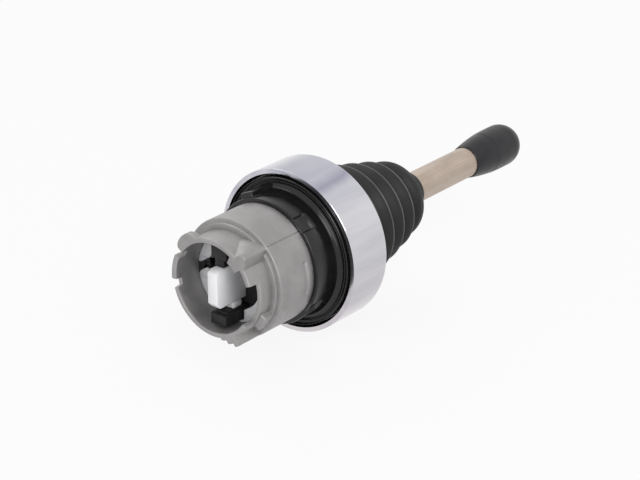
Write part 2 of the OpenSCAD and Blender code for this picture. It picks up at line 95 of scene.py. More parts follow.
def place(r, angle, z):
    """Point in the frame, in metres, from its radius, clock angle and height."""
    a = math.radians(angle)
    return (-r * math.cos(a) * MM, -z * MM, r * math.sin(a) * MM)


# ---------------------------------------------------------------- materials
# Noise scales are per metre, and relief distances are in metres.
ZINC_TINT = (1.0, 0.972, 0.965)
RUBBER_TINT = (1.02, 0.97, 1.0)
FINE_RELIEF = 0.00003
MIX_A, MIX_B, MIX_RESULT = 6, 7, 2           # colour sockets of the Mix node


def tree_of(name):
    """New material, its node tree and its shader."""
    mat = bpy.data.materials.new(name)
    mat.use_nodes = True
    nt = mat.node_tree
    return mat, nt, nt.nodes["Principled BSDF"]


def coords(nt, scale=(1, 1, 1)):
    """Object coordinates, stretched along the axes."""
    tc = nt.nodes.new("ShaderNodeTexCoord")
    mp = nt.nodes.new("ShaderNodeMapping")
    mp.inputs["Scale"].default_value = scale
    nt.links.new(tc.outputs["Object"], mp.inputs["Vector"])
    return mp.outputs["Vector"]


def axes(nt, vec):
    """The X, Y and Z outputs of a vector."""
    xyz = nt.nodes.new("ShaderNodeSeparateXYZ")
    nt.links.new(vec, xyz.inputs["Vector"])
    return xyz.outputs


def noise(nt, vec, scale, detail, rough=0.5):
    n = nt.nodes.new("ShaderNodeTexNoise")
    n.inputs["Scale"].default_value = scale
    n.inputs["Detail"].default_value = detail
    n.inputs["Roughness"].default_value = rough
    nt.links.new(vec, n.inputs["Vector"])
    return n.outputs["Fac"]


def ramp(nt, fac, stops):
    """Colour ramp through (position, colour) stops."""
    r = nt.nodes.new("ShaderNodeValToRGB")
    cr = r.color_ramp
    while len(cr.elements) < len(stops):
        cr.elements.new(0.5)
    for e, (pos, col) in zip(cr.elements, stops):
        e.position = pos
        e.color = (*col, 1)
    nt.links.new(fac, r.inputs["Fac"])
    return r.outputs["Color"]


def spread(nt, fac, low, high, f_low=0.3, f_high=0.7):
    """Value stretched from its own range, by default that of a noise, to low and high."""
    m = nt.nodes.new("ShaderNodeMapRange")
    m.inputs["From Min"].default_value = f_low
    m.inputs["From Max"].default_value = f_high
    m.inputs["To Min"].default_value = low
    m.inputs["To Max"].default_value = high
    nt.links.new(fac, m.inputs["Value"])
    return m.outputs["Result"]


def maths(nt, kind, a, b):
    """Math node on two values, each of them a number or an output."""
    m = nt.nodes.new("ShaderNodeMath")
    m.operation = kind
    for i, v in enumerate((a, b)):
        if isinstance(v, (int, float)):
            m.inputs[i].default_value = v
        else:
            nt.links.new(v, m.inputs[i])
    return m.outputs["Value"]


def surface(nt, bsdf, colour, roughness, relief, strength, distance):
    """Links colour, roughness and a fine relief to a shader."""
    b = nt.nodes.new("ShaderNodeBump")
    b.inputs["Strength"].default_value = strength
    b.inputs["Distance"].default_value = distance
    nt.links.new(relief, b.inputs["Height"])
    nt.links.new(b.outputs["Normal"], bsdf.inputs["Normal"])
    nt.links.new(colour, bsdf.inputs["Base Color"])
    nt.links.new(roughness, bsdf.inputs["Roughness"])


def tinted(v, tint):
    return tuple(v * t for t in tint)


def zinc():
    """Tumbled zinc die casting: soft cloudy tone and a fine orange peel."""
    mat, nt, b = tree_of("zinc_casting")
    v = coords(nt)
    col = ramp(nt, noise(nt, v, 180, 4, 0.6),
               [(0.3, tinted(0.29, ZINC_TINT)), (0.7, tinted(0.37, ZINC_TINT))])
    peel = maths(nt, "ADD", noise(nt, v, 2600, 2),
                 maths(nt, "MULTIPLY", noise(nt, v, 500, 3), 1.5))
    b.inputs["Metallic"].default_value = 0.75
    surface(nt, b, col, spread(nt, noise(nt, v, 900, 2), 0.42, 0.58), peel, 0.30, 0.00006)
    return mat


def clock(nt, vec):
    """Clock angle round the lever axis as seen from behind, in degrees from -180 to 180."""
    at = axes(nt, vec)
    angle = maths(nt, "ARCTAN2", at["Z"], maths(nt, "MULTIPLY", at["X"], -1.0))
    return maths(nt, "MULTIPLY", angle, 180 / math.pi)


# Painted reflection tones round the tube, from clock angle -180 at 0 to 180 at 1.
CHROME_REFLECTION_TONES = (
    (0.00, (0.62, 0.61, 0.66)), (0.20, (0.66, 0.63, 0.66)), (0.40, (0.63, 0.59, 0.62)),
    (0.50, (0.58, 0.57, 0.60)), (0.60, (0.66, 0.65, 0.68)), (0.655, (0.56, 0.56, 0.61)),
    (0.675, (0.34, 0.34, 0.42)), (0.70, (0.50, 0.50, 0.57)), (0.76, (0.47, 0.47, 0.53)),
    (0.82, (0.64, 0.63, 0.68)), (0.90, (0.56, 0.55, 0.60)), (1.00, (0.62, 0.61, 0.66)))
CHROME_WANDER = 26                           # degrees over which the tones wander


def chrome():
    """Bright plating: painted reflections as tones round the tube and soft lengthways streaks."""
    mat, nt, b = tree_of("chrome")
    v = coords(nt, (1, 0.10, 1))
    drift = maths(nt, "SUBTRACT", noise(nt, coords(nt), 70, 3), 0.5)
    angle = maths(nt, "ADD", clock(nt, coords(nt)),
                  maths(nt, "MULTIPLY", drift, CHROME_WANDER))
    # Painted reflection: tones by clock angle round the tube, with a dark band, times soft
    # lengthways streaks.
    tube = ramp(nt, spread(nt, angle, 0, 1, -180, 180), CHROME_REFLECTION_TONES)
    streak = ramp(nt, noise(nt, v, 130, 4, 0.6), [(0.32, (0.80, 0.80, 0.83)), (0.55, (1, 1, 1))])
    both = nt.nodes.new("ShaderNodeMix")
    both.data_type = "RGBA"
    both.blend_type = "MULTIPLY"
    both.inputs["Factor"].default_value = 1.0
    nt.links.new(tube, both.inputs[MIX_A])
    nt.links.new(streak, both.inputs[MIX_B])
    b.inputs["Metallic"].default_value = 1.0
    surface(nt, b, both.outputs[MIX_RESULT], spread(nt, noise(nt, coords(nt), 60, 2), 0.10, 0.20),
            noise(nt, v, 220, 2), 0.05, 0.0002)
    return mat


def rubber(name, tone, rough_low, rough_high, grain, strength):
    """Black rubber with a little dust in its tone."""
    mat, nt, b = tree_of(name)
    v = coords(nt)
    col = ramp(nt, noise(nt, v, 350, 4, 0.65), [(0.35, tinted(tone * 0.85, RUBBER_TINT)),
                                               (0.68, tinted(tone * 1.25, RUBBER_TINT))])
    b.inputs["Specular IOR Level"].default_value = 0.35
    surface(nt, b, col, spread(nt, noise(nt, v, 240, 3), rough_low, rough_high),
            noise(nt, v, grain, 2), strength, 0.00004)
    return mat


def nickel():
    """Satin nickel on a drawn rod: fine lines along the rod and a warm tint."""
    mat, nt, b = tree_of("nickel_rod")
    lines = noise(nt, coords(nt, (1, 0.02, 1)), 2600, 3, 0.6)
    cloud = noise(nt, coords(nt, (1, 0.35, 1)), 260, 3, 0.6)
    mixed = maths(nt, "ADD", maths(nt, "MULTIPLY", lines, 0.45),
                  maths(nt, "MULTIPLY", cloud, 0.55))
    col = ramp(nt, mixed, [(0.36, (0.40, 0.325, 0.265)), (0.62, (0.54, 0.455, 0.385))])
    b.inputs["Metallic"].default_value = 0.9
    surface(nt, b, col, spread(nt, lines, 0.34, 0.50), lines, 0.12, FINE_RELIEF)
    return mat


def plastic(name, low, high, rough, specular, grain=3200, strength=0.10):
    """Moulded plastic between two near colours."""
    mat, nt, b = tree_of(name)
    v = coords(nt)
    col = ramp(nt, noise(nt, v, 300, 3, 0.6), [(0.35, low), (0.65, high)])
    b.inputs["Specular IOR Level"].default_value = specular
    surface(nt, b, col, spread(nt, noise(nt, v, 700, 2), rough - 0.06, rough + 0.06),
            noise(nt, v, grain, 2), strength, FINE_RELIEF)
    return mat


def white_nylon():
    """Natural white moulding: slightly translucent, with painted shade down in the bore."""
    mat, nt, b = tree_of("white_plastic")
    v = coords(nt)
    # Painted shade: darker from the rear of the bore towards its front.
    depth = spread(nt, axes(nt, v)["Y"], 0.72, 1.0, 0.0136, 0.0168)
    cloud = spread(nt, noise(nt, v, 300, 3, 0.6), 0.94, 1.0)
    col = ramp(nt, maths(nt, "MULTIPLY", depth, cloud),
               [(0.0, (0, 0, 0)), (1.0, (0.84, 0.84, 0.86))])
    b.inputs["Subsurface Weight"].default_value = 0.6
    b.inputs["Subsurface Scale"].default_value = 0.0025
    b.inputs["Subsurface Radius"].default_value = (1.0, 0.95, 0.9)
    surface(nt, b, col, spread(nt, noise(nt, v, 700, 2), 0.38, 0.50),
            noise(nt, v, 3200, 2), 0.10, FINE_RELIEF)
    return mat


def turned_steel(name, low, high, rough):
    """Steel with fine lines round the lever axis."""
    mat, nt, b = tree_of(name)
    lines = noise(nt, coords(nt, (1, 14, 1)), 420, 3, 0.6)
    col = ramp(nt, lines, [(0.35, low), (0.65, high)])
    b.inputs["Metallic"].default_value = 1.0
    surface(nt, b, col, spread(nt, lines, rough - 0.07, rough + 0.07), lines, 0.10, FINE_RELIEF)
    return mat


materials = {
    "zinc_casting": zinc(),
    "chrome": chrome(),
    "gasket_rubber": rubber("gasket_rubber", 0.010, 0.10, 0.24, 1800, 0.10),
    "boot_rubber": rubber("boot_rubber", 0.011, 0.50, 0.66, 3000, 0.22),
    # Lighter rubber for the crest lips of the boot: a painted highlight.
    "boot_crest_highlight": rubber("boot_rubber_painted_highlight", 0.085, 0.40, 0.55, 3000, 0.22),
    "nickel_rod": nickel(),
    "knob_plastic": plastic("knob_plastic", (0.010, 0.009, 0.011), (0.017, 0.015, 0.018),
                            0.36, 0.34, 2400, 0.20),
    "steel": turned_steel("steel", (0.46, 0.46, 0.48), (0.60, 0.60, 0.62), 0.30),
    "spring_steel": turned_steel("spring_steel", (0.40, 0.41, 0.43), (0.52, 0.53, 0.55), 0.26),
    "white_plastic": white_nylon(),
    "black_plastic": plastic("black_plastic", (0.008, 0.008, 0.008), (0.014, 0.013, 0.013),
                             0.45, 0.3),
}

slot_of = {p["node"]: p["material_slot"] for p in frame["record"]["subparts"]}
for name, obj in nodes.items():
    mat = materials[slot_of[name]]
    if not obj.material_slots:
        obj.data.materials.append(mat)
    for s in obj.material_slots:
        s.material = mat


# ---------------------------------------------------------------- mesh helpers
STRAIGHT = 86                                # half angle from which a corner isn't rounded
SIDE_SHARE = 0.48                            # most of a side that one rounding may take
COLUMN_PITCH = 1.5                           # degrees between the columns of a plain wall
EDGE_REACH, EDGE_STEPS = 1.2, 6              # degrees and columns on each side of an edge
LEAST_GAP = 0.05                             # degrees
FIRST_ANGLE = -90


def linked(name, data):
    """New object in the scene."""
    obj = bpy.data.objects.new(name, data)
    bpy.context.scene.collection.objects.link(obj)
    return obj


def shaded(name, mesh, slot, sharp):
    """Object of a mesh in its material slot, smooth up to an angle between faces."""
    mesh.materials.append(materials[slot])
    mesh.shade_smooth()
    mesh.set_sharp_from_angle(angle=math.radians(sharp))
    obj = linked(name, mesh)
    return obj


def piece(name, verts, faces, slot, sharp):
    mesh = bpy.data.meshes.new(name)
    mesh.from_pydata(verts, [], faces)
    mesh.validate()
    mesh.update()
    return shaded(name, mesh, slot, sharp)


def rounded(points, radius, steps, closed=True):
    """Profile with each corner rounded. A point may carry its own radius as a third value."""
    out = []
    n = len(points)
    for i, p in enumerate(points):
        here = Vector(p[:2])
        r = p[2] if len(p) > 2 else radius
        if (not closed and i in (0, n - 1)) or r <= 0:
            out.append(tuple(here))
            continue
        a = Vector(points[i - 1][:2]) - here
        b = Vector(points[(i + 1) % n][:2]) - here
        la, lb = a.length, b.length
        a, b = a / la, b / lb
        half = math.acos(max(-1.0, min(1.0, a.dot(b)))) / 2
        if half > math.radians(STRAIGHT):
            out.append(tuple(here))
            continue
        reach = min(r / math.tan(half), SIDE_SHARE * la, SIDE_SHARE * lb)
        start, end = here + a * reach, here + b * reach
        for k in range(steps + 1):
            t = k / steps
            q = start.lerp(here, t).lerp(here.lerp(end, t), t)
            out.append(tuple(q))
    return out


def ring(name, rows_at, angles, slot, sharp):
    """Closed ring whose closed (r, z) profile may change with the clock angle."""
    verts, faces = [], []
    for angle in angles:
        rows = rows_at(angle)
        verts += [place(r, angle, z) for r, z in rows]
    n, segments = len(rows), len(angles)
    for s in range(segments):
        a, b = s * n, ((s + 1) % segments) * n
        for k in range(n):
            m = (k + 1) % n
            faces.append((a + k, a + m, b + m, b + k))
    return piece(name, verts, faces, slot, sharp)


def accent(obj, rows, count, material):
    """Second material on the faces that start at some rows of a ring's profile."""
    obj.data.materials.append(materials[material])
    for face in obj.data.polygons:
        at = [v % count for v in face.vertices]
        if min(at) in rows and max(at) - min(at) == 1:
            face.material_index = 1


def lathe(name, profile, slot, segments, sharp=35):
    """Closed ring of one closed (r, z) profile."""
    return ring(name, lambda angle: profile, [TURN * s / segments for s in range(segments)],
                slot, sharp)


def spindle(name, profile, slot, segments, sharp=35):
    """Solid of an open (r, z) profile whose two ends lie on the axis."""
    inner = profile[1:-1]
    n = len(inner)
    verts, faces = [], []
    for s in range(segments):
        angle = TURN * s / segments
        verts += [place(r, angle, z) for r, z in inner]
    first, last = len(verts), len(verts) + 1
    verts += [place(0, 0, profile[0][1]), place(0, 0, profile[-1][1])]
    for s in range(segments):
        a, b = s * n, ((s + 1) % segments) * n
        for k in range(n - 1):
            faces.append((a + k, a + k + 1, b + k + 1, b + k))
        faces.append((first, a, b))
        faces.append((last, b + n - 1, a + n - 1))
    return piece(name, verts, faces, slot, sharp)


def columns(edges):
    """Clock angles of one turn, crowded round the edges of features."""
    out = {round(FIRST_ANGLE + k * COLUMN_PITCH, 3) for k in range(round(TURN / COLUMN_PITCH))}
    for e in edges:
        for k in range(-EDGE_STEPS, EDGE_STEPS + 1):
            out.add(round(e + EDGE_REACH * k / EDGE_STEPS, 3))
    kept = []
    for a in sorted(out):
        if FIRST_ANGLE <= a < FIRST_ANGLE + TURN and (not kept or a - kept[-1] > LEAST_GAP):
            kept.append(a)
    return kept


def step(x, edge, width):
    """Smooth step from 0 to 1 over a width centred on an edge."""
    t = min(1.0, max(0.0, (x - edge) / width + 0.5))
    return t * t * (3 - 2 * t)


def band(x, low, high, width):
    """1 between two edges and 0 outside them, with smooth steps."""
    return step(x, low, width) * (1 - step(x, high, width))


def along(x, points):
    """Straight lines through (x, y) points, level outside them."""
    if x <= points[0][0]:
        return points[0][1]
    for (x0, y0), (x1, y1) in zip(points, points[1:]):
        if x <= x1:
            return y0 + (y1 - y0) * (x - x0) / (x1 - x0)
    return points[-1][1]


# ---------------------------------------------------------------- housing
# Pairs are clock angles, and so are the first numbers in GABLE and EAR.
SOFT = 1.0                                   # width of a cast side wall, in degrees
NOTCHES = ((-35, 18, 2.2), (144.5, 155, 1.4), (185, 195, 1.2))        # from, to, depth
RIB_REACH = 10.3
GABLE = ((37.2, 0), (38.4, 0.25), (45, RIB_REACH - 0.1 - CROWN_R), (47, RIB_REACH - CROWN_R),
         (49.5, RIB_REACH - 0.22 - CROWN_R))
GABLE_FOOT = ((REAR_Z, 53.0), (-14.75, 69.6))                         # height, angle
LOW_RIBS, LOW_RIB_STEPS, LOW_RIB_H, LOW_RIB_RISE = (-78, -57), (-70, -62), 0.35, 0.65
TOOTH, TOOTH_H, TOOTH_FRONT = (155, 185), 0.25, -16.0
EAR = ((112, 0), (115, 0.45), (119, 0.92), (124, 1.24), (131, 1.26), (137, 1.12), (142, 0.8),
       (145, 0.3), (146, 0))
EAR_FRONT = -17.2
STOP, STOP_H, STOP_L = (-42, -24), 1.0, 2.3
INNER_LUG, INNER_LUG_H, INNER_LUG_L = (40, 59), 1.3, 1.4
LEDGE_GAP = (129, 152)                       # the ledge stops beside the ear
GROOVE, GROOVE_DEPTH, GROOVE_Z, GROOVE_W = (-12, 19), 0.28, -7.2, 0.7
PARTING, PARTING_DEPTH, PARTING_HALF_W = 46.5, 0.11, 0.75
CLIP_LOW, CLIP_HIGH, CLIP_DEPTH = -8.63, -7.77, 0.45


def rim(a):
    """Rear face of the crown, with its notches."""
    return REAR_Z + max(depth * band(a, low, high, SOFT) for low, high, depth in NOTCHES)


def crown(a, z):
    """Outer radius of the crown: gabled rib, lower ribs, tooth, ear and stop block."""
    foot = along(z, GABLE_FOOT)
    gable = along(a, GABLE + ((foot, 0.06), (foot + 0.5, 0)))
    low_ribs = ((LOW_RIB_H + LOW_RIB_RISE * step(a, LOW_RIB_STEPS[0], SOFT)
                 + LOW_RIB_RISE * step(a, LOW_RIB_STEPS[1], SOFT)) * band(a, *LOW_RIBS, SOFT))
    tooth = TOOTH_H * band(a, *TOOTH, SOFT) * (1 - step(z, TOOTH_FRONT, 0.25))
    ear = along(a, EAR) * (1 - step(z, EAR_FRONT, 0.3))
    stop = STOP_H * band(a, *STOP, 2 * SOFT) * step(z, SHOULDER_Z - STOP_L, 0.25)
    return CROWN_R + max(gable, low_ribs, tooth, ear, stop)


def mouth(a, z):
    """Radius of the crown bore, with the locking lug."""
    lug = INNER_LUG_H * band(a, *INNER_LUG, SOFT) * (1 - step(z, REAR_Z + INNER_LUG_L, 0.2))
    return CROWN_BORE_R - lug


def barrel(a, z):
    """Outer radius of the barrel, with its groove and the parting line of the casting."""
    groove = GROOVE_DEPTH * band(a, *GROOVE, 2.5) * band(z, GROOVE_Z, GROOVE_Z + GROOVE_W, 0.3)
    parting = PARTING_DEPTH * max(0.0, 1 - abs(a - PARTING) / PARTING_HALF_W)
    return BARREL_R - max(groove, parting)


# Heights of the rows, crowded where a form begins or ends. A notch pushes them forward.
BORE_ROWS = (-12.2, -14.0, -15.6, -16.6, -17.0, -17.1, -17.15, -17.2, -17.25, -17.3, -17.4,
             -18.0)
WALL_ROWS = (-18.2, -17.8, -17.4, -17.34, -17.27, -17.2, -17.13, -17.06, -17.0, -16.6, -16.2,
             -16.11, -16.05, -16.0, -15.95, -15.89, -15.72, -15.66, -15.6, -15.54, -15.48,
             -15.2, -14.6, -14.2, -13.96)
BARREL_ROWS = (-12.9, -12.0, -11.0, -10.0, -9.0, -8.2, -7.5, -7.38, -7.3, -7.2, -7.1, -7.02,
               -6.9, -6.68, -6.6, -6.5, -6.4, -6.32, -6.2, -5.7, -5.2)
ROW_GAP = 0.002
# Roundings: in from the edge and forward of the rim, and radius and height of the shoulder.
RIM_INNER = ((0.01, 0.12), (0.05, 0.04), (0.13, 0))
RIM_OUTER = ((0.24, 0), (0.11, 0.04), (0.03, 0.11), (0, 0.22))
SHOULDER = ((9.7, 0), (10.12, 0), (10.23, 0.03), (10.32, 0.1), (BARREL_R, 0.22))


def housing_rows(a):
    """Profile from the collar back through the bore, round the rim and forward outside."""
    end = rim(a)
    rows = [(CHAMBER_R, COLLAR_Z), (CHAMBER_R, CLIP_HIGH), (CHAMBER_R + CLIP_DEPTH, CLIP_HIGH),
            (CHAMBER_R + CLIP_DEPTH, CLIP_LOW), (CHAMBER_R, CLIP_LOW), (CHAMBER_R, GUIDE_STEP_Z),
            (CROWN_BORE_R, GUIDE_STEP_Z)]
    for k, z in enumerate(BORE_ROWS):
        z = max(z, end + 0.16 + ROW_GAP * (len(BORE_ROWS) - k))
        rows.append((mouth(a, z), z))
    inner, outer = mouth(a, end), crown(a, end)
    rows += [(inner + dr, end + dz) for dr, dz in RIM_INNER]
    rows.append(((inner + outer) / 2, end))
    rows += [(outer - dr, end + dz) for dr, dz in RIM_OUTER]
    for k, z in enumerate(WALL_ROWS):
        z = max(z, end + 0.23 + ROW_GAP * k)
        rows.append((crown(a, z), z))

    ledge_z = SHOULDER_Z - LEDGE_T
    low = crown(a, ledge_z)
    ledge = max(low, CROWN_R + (LEDGE_R - CROWN_R) * (1 - band(a, *LEDGE_GAP, 3)))
    edge = min(0.12, ledge - low)
    rows += [(low, ledge_z), (ledge - edge, ledge_z), (ledge - 0.3 * edge, ledge_z + 0.03),
             (ledge, ledge_z + 0.12), (ledge, SHOULDER_Z - 0.07),
             (ledge + 0.01, SHOULDER_Z - 0.02)]
    for r, dz in SHOULDER:
        rows.append((max(r, ledge + 0.02) if r < BARREL_R else BARREL_R, SHOULDER_Z + dz))
    rows += [(barrel(a, z), z) for z in BARREL_ROWS]
    rows += [(SEAT_R, SLEEVE_END), (SEAT_R, FLANGE_Z), (FLANGE_R, FLANGE_Z),
             (FLANGE_R, FLANGE_TOP), (COLLAR_R, FLANGE_TOP), (COLLAR_R, COLLAR_Z)]
    return rows


housing_edges = [37.8, 45.5, 47, 49.5, 53, 66, 69.8, 60, 112, 116, 142, PARTING]
for span in NOTCHES + (LOW_RIBS, LOW_RIB_STEPS, STOP, INNER_LUG, LEDGE_GAP, GROOVE):
    housing_edges += span[:2]
body = ring("housing_cast", housing_rows, columns(housing_edges), "zinc_casting", 32)
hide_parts("housing")
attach(body, "housing")

# ---------------------------------------------------------------- gasket
GASKET_IN = 10.23
FILLET, FILLET_STEPS = 1.0, 6                # from the sleeve to the sealing face
POCKETS, POCKET_DIP, POCKET_L = ((43, 58), (-40, -27)), 0.35, 2.6
TAB, TAB_H, TAB_BACK = (107, 120), 0.9, 0.6
LIP_STEP, LIP_W = 0.62, 0.3
OUTER_LIP_H, INNER_LIP_H = 0.5, 0.24         # the outer lip stands furthest back
LIP_BASE = 0.5
LIP = ((-0.05, LIP_BASE), (0.0, 0.28), (0.05, 0.1), (0.12, 0.02), (0.18, 0.02), (0.25, 0.1),
       (0.3, 0.28), (0.35, LIP_BASE))        # radius, and distance from the tip of the lip
SLEEVE_ROWS = (-4.95, -4.78, -4.7, -4.6, -4.5, -4.42, -4.0, -3.4, -2.9, -2.75, -2.6, -2.45,
               -2.3, -1.6, -0.8, GASKET_LIP - FILLET)


def gasket_rows(a):
    """Profile from the bore round the end of the sleeve and out over the three lips."""
    pocket = max(band(a, low, high, 1.6) for low, high in POCKETS)
    tab = band(a, *TAB, 1.2)

    def sleeve(z):
        dip = POCKET_DIP * pocket * (1 - step(z, SLEEVE_END + POCKET_L, 0.5))
        return SLEEVE_R - dip + TAB_H * tab * step(z, SLEEVE_END + TAB_BACK, 0.25)

    rows = [(GASKET_IN, FLANGE_Z), (GASKET_IN, -5.1), (GASKET_IN + 0.04, SLEEVE_END),
            (sleeve(SLEEVE_END) - 0.26, SLEEVE_END),
            (sleeve(SLEEVE_END) - 0.1, SLEEVE_END + 0.05),
            (sleeve(-5.1) - 0.02, SLEEVE_END + 0.14)]
    rows += [(sleeve(z), z) for z in SLEEVE_ROWS]
    for k in range(1, FILLET_STEPS + 1):
        b = math.radians(90 / FILLET_STEPS * k)
        rows.append((max(SLEEVE_R + FILLET * (1 - math.cos(b)),
                         sleeve(0) if k < FILLET_STEPS else 0),
                     GASKET_LIP - FILLET * (1 - math.sin(b))))
    for i in (2, 1, 0):                      # from the inner lip to the outer
        r = GASKET_R - LIP_W - i * LIP_STEP
        height = INNER_LIP_H if i else OUTER_LIP_H
        for dr, dz in LIP:
            rows.append((max(r + dr, rows[-1][0] + 0.005),
                         GASKET_LIP - height * (LIP_BASE - dz) / LIP_BASE))
    rows[-1] = (GASKET_R, 0.3)
    rows.append((GASKET_R, FLANGE_Z))
    return rows


gasket = ring("gasket_moulded", gasket_rows,
              columns([e for span in POCKETS + (TAB,) for e in span]), "gasket_rubber", 40)
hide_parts("panel_gasket")
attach(gasket, "housing")

# ---------------------------------------------------------------- mouth of the crown
# Outlines are (right, up) from the lever axis, seen from behind.
GUIDE_Z = -13.2                              # rear face of the white guide
PLATE_T = 0.4
CORE_Z = -11.4                               # behind it the blade and the stubs are drawn here
BLADE_W = 1.0                                # half its thickness
BLADE_Z, BLADE_TOP, BLADE_LOW = -18.5, 3.05, -3.75
BLADE_FOOT, BLADE_SLOPE = 0.9, 0.45          # how far its rear corners are cut off
KEY_TAB_L, KEY_TAB_REAR, KEY_TAB_FRONT = 1.12, -14.55, -12.45
PLUNGER_R = 6.1
TALL_END, TALL_CUT, TALL_JOIN = -16.65, -12.98, -12.9
STUB_END = -13.15
WELD = 0.000002                              # metres
FLAT = 0.5                                   # degrees between faces that are taken as one
BEVELLED = 35                                # degrees from which an edge is rounded over


def across(u, w, z):
    """Point from its offset to the right and upwards, seen from behind, and its height z."""
    return (-u * MM, -z * MM, w * MM)


def slab(outline, low, high, at=across):
    """Prism of an outline between two levels."""
    n = len(outline)
    verts = [at(p, q, s) for s in (low, high) for p, q in outline]
    faces = [tuple(range(n)), tuple(range(n, 2 * n))]
    faces += [(k, (k + 1) % n, n + (k + 1) % n, n + k) for k in range(n)]
    return verts, faces


def window_slab(outer, inner, low, high):
    """Prism between two outlines with as many corners each."""
    n = len(outer)
    verts = [across(p, q, s) for s in (low, high) for p, q in outer + inner]
    faces = []
    for k in range(n):
        m = (k + 1) % n
        faces += [(k, m, n + m, n + k), (2 * n + k, 2 * n + m, 3 * n + m, 3 * n + k),
                  (k, m, 2 * n + m, 2 * n + k), (n + k, n + m, 3 * n + m, 3 * n + k)]
    return verts, faces


def box(left, right, low, high, rear, front):
    return slab([(left, low), (right, low), (right, high), (left, high)], rear, front)


def turned(outline, side):
    """Outline as drawn for the operator's right, or turned half round for the left."""
    return outline if side == "right" else [(-u, -w) for u, w in outline]


def moulded(node, name, slot, body, width, cut=None, solids=(), merge=True):
    """Copy of a CAD node, kept in front of a cut, with solids added and edges rounded over."""
    mesh = bpy.data.meshes.new(name)
    bm = bmesh.new()
    bm.from_mesh(nodes[node].data)
    bmesh.ops.remove_doubles(bm, verts=bm.verts, dist=WELD)
    if cut is not None:
        parted = bmesh.ops.bisect_plane(
            bm, geom=bm.verts[:] + bm.edges[:] + bm.faces[:], plane_co=(0, -cut * MM, 0),
            plane_no=(0, 1, 0), clear_outer=True)["geom_cut"]
        bmesh.ops.triangle_fill(bm, use_beauty=True,
                                edges=[e for e in parted if isinstance(e, bmesh.types.BMEdge)])
    for verts, faces in solids:
        corners = [bm.verts.new(v) for v in verts]
        for face in faces:
            bm.faces.new([corners[k] for k in face])
    bmesh.ops.recalc_face_normals(bm, faces=bm.faces)
    if merge:
        bmesh.ops.dissolve_limit(bm, angle_limit=math.radians(FLAT), verts=bm.verts,
                                 edges=bm.edges)
    sharp = [e for e in bm.edges if len(e.link_faces) == 2
             and e.calc_face_angle(0) > math.radians(BEVELLED)]
    bmesh.ops.bevel(bm, geom=sharp, offset=width * MM, segments=2, profile=0.5,
                    affect="EDGES", clamp_overlap=True)
    bm.to_mesh(mesh)
    bm.free()
    obj = shaded(name, mesh, slot, 30)
    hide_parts(node)
    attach(obj, body)


# Each side arm of the black cross runs slantwise to the wall of the bore, between two white
# segments of the guide, and the short plunger comes through it. The slots of the guide and
# the cross would be covered if their flat faces were merged.
ARM = [(-7.72, 0.85), (-7.15, 0.86), (-5.2, 2.2), (-5.0, 0.3), (-5.44, 0.15), (-6.31, 0.42),
       (-7.2, -0.72), (-7.62, -1.28)]
PORT = [(-6.32, 0.72), (-6.32, 1.3), (-5.6, 1.3), (-5.12, 1.3), (-5.12, 0.45), (-5.6, 0.45),
        (-6.1, 0.45), (-6.25, 0.55)]
STUB = [(-6.2, 0.58), (-6.2, 1.18), (-5.27, 1.18), (-5.27, 0.58)]
UPPER_WEB = [(-7.7, 0.88), (-7.15, 0.88), (-5.85, 1.78), (-5.85, 1.9), (-7.5, 1.9)]
LOWER_WEB = [(-7.62, -1.31), (-7.2, -0.75), (-6.31, 0.39), (-5.44, 0.12), (-5.5, -1.9),
             (-7.45, -1.9)]
sides = ("left", "right")
moulded("guide_disc", "guide_moulded", "white_plastic", "housing", 0.08, None,
        [slab(turned(web, side), GUIDE_Z, GUIDE_Z + PLATE_T)
         for side in sides for web in (UPPER_WEB, LOWER_WEB)], merge=False)
moulded("guide_core", "guide_cross", "black_plastic", "housing", 0.06, None,
        [window_slab(turned(ARM, side), turned(PORT, side), GUIDE_Z - 0.04, GUIDE_Z + PLATE_T)
         for side in sides], merge=False)
blade = [(BLADE_LOW, CORE_Z + 0.1), (BLADE_LOW, BLADE_Z + BLADE_FOOT),
         (BLADE_LOW + BLADE_FOOT, BLADE_Z), (BLADE_TOP - BLADE_SLOPE, BLADE_Z),
         (BLADE_TOP, BLADE_Z + BLADE_FOOT), (BLADE_TOP, CORE_Z + 0.1)]
moulded("key_blade", "key_blade_moulded", "white_plastic", "housing", 0.20, CORE_Z + 0.05,
        [slab(blade, -BLADE_W, BLADE_W, lambda w, z, u: across(u, w, z)),
         box(-BLADE_W, BLADE_W, BLADE_LOW - KEY_TAB_L, BLADE_LOW + 0.1,
             KEY_TAB_REAR, KEY_TAB_FRONT)])
moulded("plunger_up", "plunger_moulded_up", "black_plastic", "up_plunger", 0.10, TALL_CUT,
        [box(-1.72, 1.5, 4.5, PLUNGER_R + 1, TALL_END, TALL_JOIN),
         box(-0.95, 0.95, BLADE_TOP + 0.12, 4.6, TALL_END + 0.02, TALL_JOIN)])
moulded("plunger_down", "plunger_moulded_down", "black_plastic", "down_plunger", 0.10)
for side in sides:
    moulded("plunger_" + side, "plunger_moulded_" + side, "black_plastic", side + "_plunger",
            0.06, CORE_Z - 0.02, [slab(turned(STUB, side), STUB_END, CORE_Z)])

# ---------------------------------------------------------------- bezel
BEZEL_REAR = 0.3
BEZEL_SEAT_R = 13.33                         # bore over the flange of the housing
bezel = lathe("bezel_chromed", rounded([
    (13.68, BEZEL_REAR, 0.05), (14.42, BEZEL_REAR, 0.04), (BEZEL_R, 0.4, 0.06),
    (BEZEL_R, BEZEL_Z, 0.85), (BEZEL_HOLE_R + 0.35, BEZEL_Z, 0.1),
    (BEZEL_HOLE_R, BEZEL_Z - 0.3, 0.1), (BEZEL_HOLE_R, RIM_TOP, 0.05),
    (BEZEL_SEAT_R, RIM_TOP, 0.05), (BEZEL_SEAT_R, 1.4, 0.05)], 0.1, 6), "chrome", 288)
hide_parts("bezel_ring")
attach(bezel, "housing")

